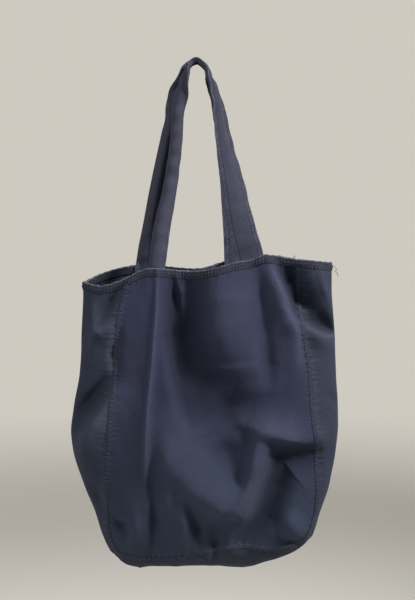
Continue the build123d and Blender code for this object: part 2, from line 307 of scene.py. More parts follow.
def make_mesh(name, points, ring=False, tube=False, wear=None, painted_shading_and_fade=None):
    """A mesh from rows of points. A ring joins the last row to the first, a tube closes each row.

    Wear (0 to 1) and the painted shading value (painted shade -1 to painted highlight 1) are given at its
    points and read by its material.
    """
    rows, columns = points.shape[:2]
    flat = points.reshape(-1, 3) * MM
    down = np.arange(rows if ring else rows - 1)
    over = np.arange(columns if tube else columns - 1)
    a, b = np.meshgrid(down, over, indexing="ij")
    a2, b2 = (a + 1) % rows, (b + 1) % columns
    faces = np.stack([a * columns + b, a * columns + b2, a2 * columns + b2, a2 * columns + b], -1)
    polygons = faces.reshape(-1, 4).tolist()
    if tube and not ring:
        polygons.append(list(range(columns))[::-1])
        polygons.append([(rows - 1) * columns + i for i in range(columns)])
    mesh = bpy.data.meshes.new(name)
    mesh.from_pydata(flat.tolist(), [], polygons)
    gaps = np.linalg.norm(np.diff(points, axis=0), axis=-1).mean(1)
    sides = np.linalg.norm(np.diff(points, axis=1), axis=-1).mean(0)
    v, u = np.concatenate([[0], np.cumsum(gaps)]), np.concatenate([[0], np.cumsum(sides)])
    uv = np.stack(np.meshgrid(u, v), -1)
    layer = mesh.uv_layers.new(name="cloth")
    corners = np.zeros(len(mesh.loops), np.int32)
    mesh.loops.foreach_get("vertex_index", corners)
    layer.data.foreach_set("uv", (uv.reshape(-1, 2)[corners] * MM).astype(np.float32).ravel())
    for label, values in (("wear", wear), ("painted_shading_and_fade", painted_shading_and_fade)):
        if values is not None:
            values = np.broadcast_to(values, (rows, columns)).astype(np.float32)
            mesh.attributes.new(label, "FLOAT", "POINT").data.foreach_set("value", values.ravel())
    mesh.polygons.foreach_set("use_smooth", [True] * len(mesh.polygons))
    piece = bpy.data.objects.new(name, mesh)
    bpy.context.scene.collection.objects.link(piece)
    return piece


def lengths(path):
    """Distance along a path at each of its points."""
    return np.concatenate([[0], np.cumsum(np.linalg.norm(np.diff(path, axis=0), axis=-1))])


def stitch_mesh(name, rows, pitch=3.3, size=2.5, radius=0.42, lift=0.15):
    """Rows of stitches. Each row is a path with the normals of what it is sewn through."""
    rings = np.array([(-1.0, 0.25), (-0.8, 0.8), (0, 1.0), (0.8, 0.8), (1.0, 0.25)])
    sides = 6
    turns = np.arange(sides) * 2 * math.pi / sides
    template = np.array([(along, np.cos(t) * wide, np.sin(t) * wide) for along, wide in rings for t in turns])
    points, faces = [], []
    for path, normals in rows:
        far = lengths(path)
        count = int(far[-1] / pitch)
        spots = (np.arange(count) + 0.5) * pitch + random.uniform(-0.15, 0.15, count)
        places = np.stack([np.interp(spots, far, path[:, i]) for i in range(3)], -1)
        ahead = np.stack([np.interp(spots + 0.8, far, path[:, i]) for i in range(3)], -1)
        behind = np.stack([np.interp(spots - 0.8, far, path[:, i]) for i in range(3)], -1)
        normal = unit(np.stack([np.interp(spots, far, normals[:, i]) for i in range(3)], -1))
        along = unit(ahead - behind)
        along = unit(along + np.cross(normal, along) * random.normal(0, 0.06, count)[:, None])
        across = unit(np.cross(normal, along))
        for i in range(count):
            local = template * (size / 2, radius, radius)
            place = places[i] + normal[i] * lift
            start = len(points) * len(template)
            lying = place + local[:, :1] * along[i] + local[:, 1:2] * across[i]
            points.append(lying + local[:, 2:] * normal[i])
            for r in range(len(rings) - 1):
                for s in range(sides):
                    low, next_low = start + r * sides + s, start + r * sides + (s + 1) % sides
                    faces.append((low, next_low, next_low + sides, low + sides))
            faces.append(tuple(start + s for s in reversed(range(sides))))
            faces.append(tuple(start + (len(rings) - 1) * sides + s for s in range(sides)))
    mesh = bpy.data.meshes.new(name)
    mesh.from_pydata((np.concatenate(points) * MM).tolist(), [], faces)
    mesh.polygons.foreach_set("use_smooth", [True] * len(mesh.polygons))
    piece = bpy.data.objects.new(name, mesh)
    bpy.context.scene.collection.objects.link(piece)
    return piece


# ---------------------------------------------------------------- materials


# How much the dye is mottled, how dark hollows are painted as shade, and how pale ridges are painted as
# highlights.
MOTTLE, HOLLOW_PAINTED_SHADE, RIDGE_PAINTED_HIGHLIGHT = 0.12, 0.55, 0.32
# The heights in metres between which the dye turns to the lower one.
LOW_DYE, HIGH_DYE = -0.58, -0.40


def cloth_material(name, dark, mid, pale, low=None, weave=0.0008, rough=0.9):
    """Washed canvas: mottled dye, paler wear, painted shade in hollows, painted highlights on ridges, a twill
    weave and slubs.

    Where low is given, the dye turns to it on the lower part of the bag.
    """
    material = bpy.data.materials.new(name)
    material.use_nodes = True
    nodes, links = material.node_tree.nodes, material.node_tree.links
    shader = nodes["Principled BSDF"]
    shader.inputs["Specular IOR Level"].default_value = 0.12
    shader.inputs["Sheen Weight"].default_value = 0.04
    shader.inputs["Sheen Roughness"].default_value = 0.6
    shader.inputs["Sheen Tint"].default_value = (0.7, 0.72, 0.9, 1)

    def node(kind, **inputs):
        made = nodes.new("ShaderNode" + kind)
        for key, value in inputs.items():
            made.inputs[key.replace("_", " ")].default_value = value
        return made

    def noise(scale, detail, coordinates):
        made = node("TexNoise", Scale=scale, Detail=detail)
        links.new(coordinates, made.inputs["Vector"])
        return made.outputs["Fac"]

    def ramp(value, low, high):
        made = node("MapRange")
        made.inputs["From Min"].default_value, made.inputs["From Max"].default_value = low, high
        links.new(value, made.inputs["Value"])
        return made.outputs["Result"]

    def mix(factor, first, second):
        made = nodes.new("ShaderNodeMix")
        made.data_type = "RGBA"
        links.new(factor, made.inputs["Factor"])
        for socket, colour in ((made.inputs["A"], first), (made.inputs["B"], second)):
            if isinstance(colour, tuple):
                socket.default_value = (*colour, 1)
            else:
                links.new(colour, socket)
        return made.outputs["Result"]

    def combine(operation, first, second):
        made = nodes.new("ShaderNodeMath")
        made.operation = operation
        for socket, value in zip(made.inputs, (first, second)):
            if isinstance(value, (int, float)):
                socket.default_value = value
            else:
                links.new(value, socket)
        return made.outputs["Value"]

    place = nodes.new("ShaderNodeTexCoord")
    coordinates, uv = place.outputs["Object"], place.outputs["UV"]
    dye = mix(ramp(noise(9, 3, coordinates), 0.3, 0.7), dark, mid)
    if low:
        split = node("SeparateXYZ")
        links.new(coordinates, split.inputs["Vector"])
        dye = mix(ramp(split.outputs["Z"], LOW_DYE, HIGH_DYE), low, dye)
    mottled = mix(combine("MULTIPLY", ramp(noise(70, 5, coordinates), 0.4, 0.9), MOTTLE), dye, pale)
    wear, painted_shading_and_fade = node("Attribute"), node("Attribute")
    wear.attribute_name, painted_shading_and_fade.attribute_name = "wear", "painted_shading_and_fade"
    # Painted shade and highlight: hollows are painted darker, towards a quarter of the dark dye, and ridges
    # paler, towards the pale dye.
    hollow_painted_shade = combine("MULTIPLY", combine("MINIMUM", painted_shading_and_fade.outputs["Fac"], 0.0), -HOLLOW_PAINTED_SHADE)
    ridge_painted_highlight = combine("MULTIPLY", combine("MAXIMUM", painted_shading_and_fade.outputs["Fac"], 0.0), RIDGE_PAINTED_HIGHLIGHT)
    painted_shade_colour = tuple(0.25 * value for value in dark)
    dye_with_painted_shading = mix(ridge_painted_highlight, mix(hollow_painted_shade, mottled, painted_shade_colour), pale)
    # Worn edges and seams turn pale; on the front this also carries the pale bands painted as highlights.
    wear_and_painted_highlight = combine("MULTIPLY", wear.outputs["Fac"], ramp(noise(330, 3, coordinates), 0.3, 0.62))
    links.new(mix(wear_and_painted_highlight, dye_with_painted_shading, pale), shader.inputs["Base Color"])
    rough_value = ramp(noise(60, 2, coordinates), 0.2, 0.8)
    rough_range = node("MapRange")
    rough_range.inputs["To Min"].default_value = rough - 0.08
    rough_range.inputs["To Max"].default_value = rough + 0.06
    links.new(rough_value, rough_range.inputs["Value"])
    links.new(rough_range.outputs["Result"], shader.inputs["Roughness"])

    bands = []
    for direction in ("X", "Y", "DIAGONAL"):
        wave = node("TexWave", Scale=2 * math.pi / 20 / weave, Distortion=0.6)
        wave.bands_direction = direction
        links.new(uv, wave.inputs["Vector"])
        bands.append(wave.outputs["Fac"])
    twill = combine("ADD", combine("MULTIPLY", bands[0], bands[1]), combine("MULTIPLY", bands[2], 0.8))
    fine = node("Bump", Strength=0.35, Distance=0.00018)
    links.new(twill, fine.inputs["Height"])
    slub = node("Bump", Strength=0.5, Distance=0.0012)
    links.new(noise(240, 4, coordinates), slub.inputs["Height"])
    links.new(fine.outputs["Normal"], slub.inputs["Normal"])
    links.new(slub.outputs["Normal"], shader.inputs["Normal"])
    return material


canvas = cloth_material("navy_canvas", dark=(0.0185, 0.0215, 0.043), mid=(0.0235, 0.027, 0.053),
                        pale=(0.056, 0.062, 0.104), low=(0.024, 0.033, 0.056))
gusset_canvas = cloth_material("navy_canvas_gusset", dark=(0.0205, 0.0265, 0.044), mid=(0.026, 0.033, 0.054),
                               pale=(0.06, 0.07, 0.104))
seam_canvas = cloth_material("seam_canvas", dark=(0.019, 0.024, 0.041), mid=(0.025, 0.031, 0.051),
                             pale=(0.065, 0.073, 0.10))
hem_canvas = cloth_material("hem_canvas", dark=(0.016, 0.0185, 0.031), mid=(0.021, 0.0245, 0.040),
                            pale=(0.13, 0.135, 0.17))
strap_canvas = cloth_material("strap_canvas", dark=(0.034, 0.036, 0.057), mid=(0.045, 0.047, 0.072),
                              pale=(0.100, 0.104, 0.145))
thread_cloth = cloth_material("faded_thread", dark=(0.034, 0.038, 0.060), mid=(0.046, 0.051, 0.075),
                              pale=(0.10, 0.11, 0.14), weave=0.0006)
strap_thread = cloth_material("strap_thread", dark=(0.075, 0.080, 0.115), mid=(0.10, 0.105, 0.145),
                              pale=(0.16, 0.17, 0.21), weave=0.0006)


def finish_piece(piece, material, slot, *nodes, ride_on="bag"):
    """Gives a piece its material and body, and hides the CAD nodes that it replaces. Its slot is not used."""
    piece.data.materials.append(material)
    if ride_on:
        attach(piece, ride_on)
    if nodes:
        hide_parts(*nodes)


def thicken(piece, thickness):
    """Gives a sheet its thickness, inwards."""
    solid = piece.modifiers.new("cloth_thickness", "SOLIDIFY")
    solid.thickness = thickness * MM
    solid.offset = -1


# ---------------------------------------------------------------- panels

FRONT_COLUMNS, GUSSET_COLUMNS, WALL_ROWS = 190, 90, 230
PAINTED_SHADING_RISE = 16  # a fold this high gets the full painted highlight, and one this deep the full painted shade
PUCKER = 0.55  # how far the cloth is drawn in along seams
GIRTH_RADIUS = 150  # turns times this are about the distance round the bag
# A crease worn pale, then three pale bands painted as highlights on lit folds: (points of (x, height),
# strength, half width).
WORN_CREASE_AND_PAINTED_HIGHLIGHTS = [
    ([(-51, -262), (-52, -310), (-57, -380), (-63, -440), (-66, -500), (-68, -545)], 0.55, 2.2),
    ([(-40, -474), (-24, -504), (4, -538), (36, -566), (60, -572), (72, -540), (80, -480)], 0.35, 12),
    ([(64, -458), (88, -465), (116, -474), (140, -481)], 0.35, 8),
    ([(92, -258), (106, -280), (119, -312), (129, -345), (135, -400)], 0.4, 5),
]


def side_turns(side, height):
    """The turns at which a panel or gusset starts and ends."""
    right, left = turn_at(height, "right"), turn_at(height, "left")
    behind_left, behind_right = 2 * math.pi - left, 2 * math.pi - right
    return {"front": (right, left), "left": (left, behind_left), "back": (behind_left, behind_right),
            "right": (-right, right)}[side]


def wavy(at, lengths_from, lengths_to, seed, count=7):
    """A one-dimensional uneven wave, about 1 high."""
    draw = np.random.default_rng(seed)
    total = np.zeros(np.shape(at))
    for _ in range(count):
        length, phase = draw.uniform(lengths_from, lengths_to), draw.uniform(0, 2 * math.pi)
        total += np.sin(at * 2 * math.pi / length + phase)
    return total / math.sqrt(count / 2)


def wall(side):
    """One panel or gusset, with the cloth drawn in along its seams and hem."""
    columns = FRONT_COLUMNS if side in ("front", "back") else GUSSET_COLUMNS
    share = np.linspace(0, 1, columns)[None, :]
    down = np.linspace(0, 1, WALL_ROWS)[:, None]
    first, final = side_turns(side, np.full((1, columns), MOUTH_HEIGHT))
    turn = first + (final - first) * share
    top = rim(turn) - 1.2
    low = foot(turn)
    for _ in range(3):
        first, final = side_turns(side, low)
        low = foot(first + (final - first) * share)
    height = top + (low - top) * down
    first, final = side_turns(side, height)
    turn = first + (final - first) * share
    points, rise = body(turn, height, with_rise=True)
    normals = facing(turn, height)
    width = np.linalg.norm(np.diff(points, axis=1), axis=-1).sum(1)[:, None]
    to_first, to_final = share * width, (1 - share) * width
    drawn = np.exp(-to_first / 7) * wavy(height, 5, 13, 11) + np.exp(-to_final / 7) * wavy(height, 5, 13, 12)
    girth = turn * GIRTH_RADIUS
    drawn = drawn + np.exp(-(top - height) / 9) * wavy(girth, 5, 12, 13) * 0.8
    drawn = drawn + np.exp(-(height - low) / 8) * wavy(girth, 5, 14, 14)
    points = points + normals * drawn[..., None] * PUCKER
    edge = np.minimum(np.minimum(to_first, to_final), height - low)
    wear = 0.35 * np.exp(-np.abs(edge - 4) / 3) + 0.25 * np.clip(drawn, 0, 1)
    # Pale lines along creases: the first is crease wear, the other three are painted highlights on lit folds.
    for path, strength, width in WORN_CREASE_AND_PAINTED_HIGHLIGHTS if side == "front" else ():
        distance, _, along = nearest(points[..., 0], points[..., 2], path)
        ends = step(0, 0.5, along) * step(len(path) - 1, len(path) - 1.5, along)
        wear = wear + strength * ends * np.exp(-((distance / width) ** 2))
    # Rising folds are painted paler as a highlight, and sinking folds darker as painted shade.
    return make_mesh(f"{side}_cloth", points, wear=wear, painted_shading_and_fade=np.clip(rise / PAINTED_SHADING_RISE, -1, 1))


for side in ("front", "left", "back", "right"):
    panel_name = side + ("_panel" if side in ("front", "back") else "_gusset")
    piece = wall(side)
    thicken(piece, CLOTH)
    finish_piece(piece, canvas if side in ("front", "back") else gusset_canvas, "canvas", panel_name)

# The base, from its seam down to the middle of the bottom.
BASE_RINGS, BASE_COLUMNS, CLOSING_RINGS = 60, 420, 14
BASE_SAG = 1.6
# Where the bottom hangs lowest: x, drop and width.
BASE_LOBES = [(-96, 6, 24), (66, 2.5, 30), (0, -1.5, 40)]
turn = np.linspace(0, 2 * math.pi, BASE_COLUMNS, endpoint=False)[None, :]
down = np.linspace(0, 1, BASE_RINGS)[:, None]
reach = foot(turn)
height = reach + (BOTTOM_HEIGHT - reach) * np.sin(down * math.pi / 2)
ringed = body(turn, height)
sag = BASE_SAG * ripples(ringed[..., 0], ringed[..., 1] * 2, 5.0)
ringed[..., 2] += sag * down
for middle_x, drop, width in BASE_LOBES:
    ringed[..., 2] -= drop * np.exp(-(((ringed[..., 0] - middle_x) / width) ** 2)) * down
inner_ring = ringed[-1]
closing = np.linspace(0, 1, CLOSING_RINGS)[1:, None, None]
centre_line = np.stack([inner_ring[:, 0], np.zeros(BASE_COLUMNS), inner_ring[:, 2]], -1)
bottom_rows = inner_ring[None] * (1 - closing) + centre_line[None] * closing
bottom_rows[-1, :, 1] = 0
base_points = np.concatenate([ringed, bottom_rows[:-1]])
piece = make_mesh("base_cloth", np.swapaxes(base_points, 0, 1)[::-1], ring=True)
thicken(piece, CLOTH)
finish_piece(piece, gusset_canvas, "canvas", "base_panel")

# ---------------------------------------------------------------- felled seams

# The section of a felled seam, as (distance across, height above the cloth).
SEAM_SECTION = [(-3.3, -0.6), (-3.2, 0.35), (-2.8, 0.8), (-2.1, 0.62), (-1.2, 1.0), (0, 1.1), (1.2, 1.0),
                (2.1, 0.62), (2.8, 0.8), (3.2, 0.35), (3.3, -0.6)]
SEAM_HALF = 3.3
STITCH_ROWS, STITCH_HEIGHT = (-2.1, 2.1), 0.62
RIDGE_WEAR, EDGE_WEAR = 0.9, 0.2
UPRIGHT_POINTS, LONG_BASE_POINTS, SHORT_BASE_POINTS = 420, 400, 110


def band(name, path, normals, seed):
    """A raised, puckered band along a path, with the two rows of stitches that lie on it."""
    far = lengths(path)
    along = unit(np.gradient(path, axis=0))
    across = unit(np.cross(normals, along))
    pucker = wavy(far, 3.4, 6.5, seed)
    pucker_2 = wavy(far, 3.4, 6.5, seed + 1)
    section = np.array(SEAM_SECTION)
    side = (section[None, :, 0] / SEAM_HALF + 1) / 2
    puckered = pucker[:, None] * (1 - side) + pucker_2[:, None] * side
    lift = section[None, :, 1] + 0.22 * puckered * (section[None, :, 1] > 0)
    shift = section[None, :, 0] + 0.12 * pucker[:, None]
    points = path[:, None] + across[:, None] * shift[..., None] + normals[:, None] * lift[..., None]
    wear = np.clip((lift - 0.9) * 1.4, 0, 1) * RIDGE_WEAR + EDGE_WEAR * (np.abs(section[None, :, 0]) > 3)
    piece = make_mesh(name, points, tube=True, wear=wear)
    rows = [(path + across * offset + normals * STITCH_HEIGHT, normals) for offset in STITCH_ROWS]
    return piece, rows


def upright_path(seam, front):
    """The line of a seam from just under the hem down to the base."""
    height = np.full(UPRIGHT_POINTS, MOUTH_HEIGHT)
    turn = turn_at(height, seam)
    turn = turn if front else 2 * math.pi - turn
    top, low = rim(turn) - HEM_HEIGHT + 1, foot(turn) + 2
    height = top + (low - top) * np.linspace(0, 1, UPRIGHT_POINTS)
    turn = turn_at(height, seam)
    turn = turn if front else 2 * math.pi - turn
    return body(turn, height), facing(turn, height)


def base_path(side):
    """The line of the base seam along one panel or gusset."""
    share = np.linspace(0, 1, LONG_BASE_POINTS if side in ("front", "back") else SHORT_BASE_POINTS)
    low = np.full(share.shape, FOOT_HEIGHT)
    for _ in range(4):
        first, final = side_turns(side, low)
        turn = first + (final - first) * share
        low = foot(turn)
    return body(turn, low), facing(turn, low)


seed = 20
for face in ("front", "back"):
    for seam in ("left", "right"):
        path, normals = upright_path(seam, face == "front")
        piece, rows = band(f"{face}_{seam}_felled_seam", path, normals, seed)
        finish_piece(piece, seam_canvas, "worn_edge", f"{face}_{seam}_seam")
        stitches = stitch_mesh(f"{face}_{seam}_seam_thread", rows)
        finish_piece(stitches, thread_cloth, "thread", f"{face}_{seam}_seam_stitches")
        seed += 2
for side in ("front", "left", "back", "right"):
    path, normals = base_path(side)
    piece, rows = band(f"{side}_base_felled_seam", path, normals, seed)
    finish_piece(piece, seam_canvas, "worn_edge", f"{side}_base_seam")
    stitches = stitch_mesh(f"{side}_base_thread", rows)
    finish_piece(stitches, thread_cloth, "thread", f"{side}_base_stitches")
    seed += 2

# ---------------------------------------------------------------- hem

HEM_POINTS = 1500
ROPE_PITCH = 3.9  # a hem twists into slanting ridges this far apart
# The section of the hem, as (distance outwards from the cloth's face, height above the edge).
HEM_SECTION = [(0.1, -10.6), (0.7, -10.3), (1.0, -9.4), (0.55, -8.4), (1.2, -7.2), (1.5, -5.6), (1.2, -4.0),
               (0.6, -2.7), (1.1, -1.6), (1.1, -0.6), (0.4, 0.3), (-0.8, 0.6), (-2.0, 0.4), (-2.9, -0.5),
               (-3.1, -2.0), (-2.7, -2.7), (-3.2, -4.5), (-3.2, -6.8), (-2.7, -8.4), (-3.1, -9.6),
               (-2.6, -10.6), (-1.5, -10.8)]
HEM_STITCHES = (-8.4, -2.7)

turn = np.linspace(0, 2 * math.pi, HEM_POINTS, endpoint=False)
edge = body(turn, rim(turn) - 2)
# Even steps round the mouth.
far = lengths(np.concatenate([edge, edge[:1]]))
turn = np.interp(np.linspace(0, far[-1], HEM_POINTS, endpoint=False), far, np.append(turn, 2 * math.pi))
section = np.array(HEM_SECTION)
girth = np.linspace(0, far[-1], HEM_POINTS, endpoint=False)
roll = wavy(girth, 3.2, 5.2, 61)
rope_turn = girth[:, None] * 2 * math.pi / ROPE_PITCH + wavy(girth, 20, 60, 62)[:, None] * 1.5
rope = np.sin(rope_turn + section[None, :, 1] * 0.45)
top = rim(turn) + 0.2 * wavy(girth, 6, 22, 63)
depth = np.clip(section[None, :, 1], None, 0)
heights = top[:, None] + depth
turns = np.broadcast_to(turn[:, None], heights.shape)
skin_points, skin_normals = body(turns, heights), facing(turns, heights)
outside = section[None, :, 0] > -1
body_part = np.exp(-((section[None, :, 1] + 5.6) / 3.6) ** 2)
out = section[None, :, 0] + np.where(outside, 1, -0.6) * (0.42 * rope * body_part + 0.16 * roll[:, None])
hem_points = skin_points + skin_normals * out[..., None]
hem_points[..., 2] += np.clip(section[None, :, 1], 0, None)
hem_wear = np.exp(-((section[None, :, 1] - 0.3) / 1.1) ** 2) + 0.16 * np.clip(rope, 0, 1) * body_part
hem = make_mesh("mouth_hem_cloth", hem_points, ring=True, tube=True, wear=np.clip(hem_wear, 0, 1))
finish_piece(hem, hem_canvas, "worn_edge", "mouth_hem")
rows = []
loop_turn = np.append(turn, turn[0] + 2 * math.pi)
for drop in HEM_STITCHES:
    height = np.append(top, top[0]) + drop
    normals = facing(loop_turn, height)
    rows.append((body(loop_turn, height) + normals * 0.7, normals))
hem_thread = stitch_mesh("mouth_hem_thread", rows, pitch=3.4)
finish_piece(hem_thread, thread_cloth, "thread", "mouth_hem_stitches")

# Loose ends of thread at the hem, as (x, height) points on the front.
FRAYS = [
    [(120, -254), (123, -249), (126, -251), (129, -247)],
    [(126, -255), (125, -250), (129, -245)],
    [(176, -261), (181, -259), (184, -263), (183, -268)],
    [(180, -266), (185, -268), (186, -273)],
    [(97, -253), (99, -250), (102, -250)],
]
FRAY_RADIUS, FRAY_SIDES, FRAY_POINTS = 0.35, 6, 16
FRAY_ROOT = -262.0
MOUTH_MIDDLE, MOUTH_HALF = 14, 166
fray_rows = []
for points in FRAYS:
    xs, zs = np.array(points, float).T
    at = np.linspace(0, len(points) - 1, FRAY_POINTS)
    x, z = np.interp(at, range(len(xs)), xs), np.interp(at, range(len(zs)), zs)
    share = np.clip((x - MOUTH_MIDDLE) / MOUTH_HALF, -0.999, 0.999)
    turns = np.arccos(np.sign(share) * np.abs(share) ** (SQUARENESS / 2))
    y = body(turns, np.full(FRAY_POINTS, FRAY_ROOT))[:, 1] - 2 - at
    fray_rows.append(np.stack([x, y, z], -1))
around = np.arange(FRAY_SIDES) * 2 * math.pi / FRAY_SIDES
for number, path in enumerate(fray_rows):
    ring = np.stack([np.cos(around), np.sin(around), np.zeros(FRAY_SIDES)], -1) * FRAY_RADIUS
    fray = make_mesh(f"frayed_thread_{number + 1}", path[:, None] + ring[None], tube=True)
    finish_piece(fray, thread_cloth, "thread")

# ---------------------------------------------------------------- handles

STRAP_WIDTH, STRAP_THICKNESS = 38.0, 2.2
STRAP_STEPS = 520
# Stations from the left sewn end over the hook to the right one: x, y towards the front, height, turn of the
# face from frontwards (0) to outwards (90), width share, curl of the edges backwards, and pleating.
FRONT_STATIONS = [
    (-56, 24, -306, 0, 1.0, 0.0, 0.0),
    (-56, 26, -285, 4, 1.0, 0.4, 0.0),
    (-54.5, 30, -264, 8, 1.0, 1.05, 0.0),
    (-51.5, 25, -240, 8, 1.0, 1.1, 0.0),
    (-46.5, 18, -205, 8, 1.0, 1.15, 0.0),
    (-39, 12, -168, 10, 1.0, 1.3, 0.0),
    (-32, 8.5, -122, 12, 1.0, 1.5, 0.0),
    (-28.3, 8, -88, 14, 1.0, 1.6, 0.0),
    (-27, 8.6, -62, 14, 0.96, 1.6, 0.0),
    (-24.6, 9.4, -40, 22, 0.82, 1.3, 0.3),
    (-18, 10.5, -19, 58, 0.6, 0.5, 0.9),
    (-9.5, 11, 2.5, 88, 0.56, 0.0, 1.0),
    (0, 11, 9.6, 90, 0.56, 0.0, 1.0),
    (9.5, 11, 3, 88, 0.56, 0.0, 1.0),
    (19, 11, -18, 72, 0.60, 0.1, 1.0),
    (27.5, 12.5, -42, 60, 0.68, 0.3, 0.8),
    (35.5, 15, -84, 46, 0.76, 0.4, 0.5),
    (41.2, 19, -116, 32, 0.82, 0.4, 0.2),
    (47.4, 23, -148, 20, 0.89, 0.35, 0.1),
    (53.6, 26.5, -185, 10, 0.94, 0.3, 0.0),
    (60.2, 28.5, -217, 4, 0.98, 0.15, 0.0),
    (69, 27.5, -252, 0, 1.0, 0.0, 0.0),
    (70.5, 25, -277, 0, 1.0, 0.0, 0.0),
    (70.5, 24, -298, 0, 1.0, 0.0, 0.0),
]
BACK_STATIONS = [
    (-65, 24, -302, 0, 1.0, 0.0, 0.0),
    (-65, 25, -280, 0, 1.0, 0.0, 0.0),
    (-66, 23, -258, 0, 1.0, -0.6, 0.0),
    (-65, 17, -235, 0, 1.0, -0.9, 0.0),
    (-60, 12, -205, 2, 1.0, -1.05, 0.0),
    (-53, 9, -165, 4, 1.0, -1.15, 0.0),
    (-44.5, 8.5, -122, 6, 1.0, -1.25, 0.0),
    (-37, 8.5, -88, 8, 1.0, -1.3, 0.0),
    (-30, 9, -62, 12, 0.92, -1.2, 0.1),
    (-26, 9.5, -42, 26, 0.72, -0.7, 0.5),
    (-23.5, 10.2, -19, 60, 0.58, -0.1, 0.9),
    (-16, 10.5, 2, 82, 0.56, 0.0, 1.0),
    (0, 11, 11.0, 90, 0.56, 0.0, 1.0),
    (10.5, 10.5, 3, 88, 0.56, 0.0, 1.0),
    (18, 10.5, -18, 76, 0.60, 0.2, 1.0),
    (26, 11, -42, 64, 0.66, 0.6, 0.8),
    (36.5, 14, -84, 50, 0.73, 0.8, 0.5),
    (43, 18, -122, 34, 0.80, 0.7, 0.3),
    (47, 22, -150, 20, 0.86, 0.5, 0.1),
    (51, 25, -185, 8, 0.94, 0.3, 0.0),
    (54.5, 27, -220, 0, 1.0, 0.1, 0.0),
    (55.5, 26.5, -250, 0, 1.0, 0.0, 0.0),
    (56, 25, -277, 0, 1.0, 0.0, 0.0),
    (56, 24, -298, 0, 1.0, 0.0, 0.0),
]
STRAPS = (("front", FRONT_STATIONS, -1, 81), ("back", BACK_STATIONS, 1, 91))
FULL_CURL = 1 / 11.5
PLEAT, PLEAT_WIDTH = 2.3, 21
STRAP_ROWS = (-16.3, -12.4, 12.4, 16.3)
STRAP_RIDGE = 14.4  # the ridge between two rows of stitches, from the strap's middle
FACE_POINTS = 39
# The station on top of the hook, and how far along a strap the hook turns it.
HOOK_STATION, HOOK_REACH = 12, 15
# The strap ends lie this far inside the cloth, from just above the middle of the rim down.
SEWN_INSET, RIM_MIDDLE = 4.8, -262.0


def face_of(x, z, toward):
    """How far along Y the folded front (toward -1) or back (1) of the bag is."""
    left, right = profile(1, z), profile(4, z)
    share = np.clip((x - (left + right) / 2) / ((right - left) / 2), -0.999, 0.999)
    turn = np.arccos(np.sign(share) * np.abs(share) ** (SQUARENESS / 2))
    return body(turn if toward < 0 else 2 * math.pi - turn, z)[..., 1]


def strap_frames(stations, toward):
    """Points, width directions and outward directions along a strap, evenly spaced, with its other values."""
    stations = np.array(stations, float)
    stations[:, 1] *= toward
    far = lengths(stations[:, :3])
    at = np.linspace(0, far[-1], STRAP_STEPS)
    values = np.stack([smooth(np.stack([far, stations[:, i]], -1), at) for i in range(7)], -1)
    side = np.sign(at - far[HOOK_STATION])
    turned = np.radians(values[:, 3])
    away = np.stack([side * np.sin(turned), toward * np.cos(turned), np.zeros(len(at))], -1)
    over_hook = np.clip(1 - np.abs(at - far[HOOK_STATION]) / HOOK_REACH, 0, 1)[:, None]
    away = away * (1 - over_hook) + over_hook * unit(values[:, :3] * (1, 0, 1) + (0, 0, 1e-6))
    along = unit(np.gradient(values[:, :3], axis=0))
    away = unit(away - along * (away * along).sum(-1, keepdims=True))
    across = np.cross(along, away)
    return at, values, across, away


def strap_surface(frames, offsets, lift, seed, toward):
    """Points on a strap at distances across it, raised by lift from its middle, and the normals there."""
    at, values, across, away = frames
    share, curl, pleat = values[:, 4:5], values[:, 5:6] * FULL_CURL + 1e-5, values[:, 6:7]
    offsets = np.asarray(offsets, float)[None, :]
    bend = offsets * share * curl
    sideways = np.sin(bend) / curl
    outward = -(1 - np.cos(bend)) / curl
    pleat_turn = offsets * 2 * math.pi / PLEAT_WIDTH
    folds = PLEAT * pleat * np.cos(pleat_turn + 0.5 * wavy(at, 60, 140, seed)[:, None])
    slope = -PLEAT * pleat * np.sin(pleat_turn) * 2 * math.pi / PLEAT_WIDTH
    twist = 0.5 * wavy(at, 25, 70, seed + 1)[:, None] * offsets / (STRAP_WIDTH / 2)
    wave = twist + 0.35 * wavy(at, 14, 40, seed + 2)[:, None]
    normals = away[:, None] * np.cos(bend)[..., None] + across[:, None] * (np.sin(bend) - slope)[..., None]
    normals = unit(normals)
    points = values[:, None, :3] + across[:, None] * sideways[..., None]
    points = points + away[:, None] * (outward + folds + wave)[..., None]
    room = face_of(points[..., 0], np.minimum(points[..., 2], RIM_MIDDLE), toward) - toward * SEWN_INSET
    sewn = step(RIM_MIDDLE + 14, RIM_MIDDLE + 2, points[..., 2])
    points[..., 1] -= toward * np.maximum(toward * (points[..., 1] - room), 0) * sewn
    return points + normals * np.asarray(lift)[..., None], normals


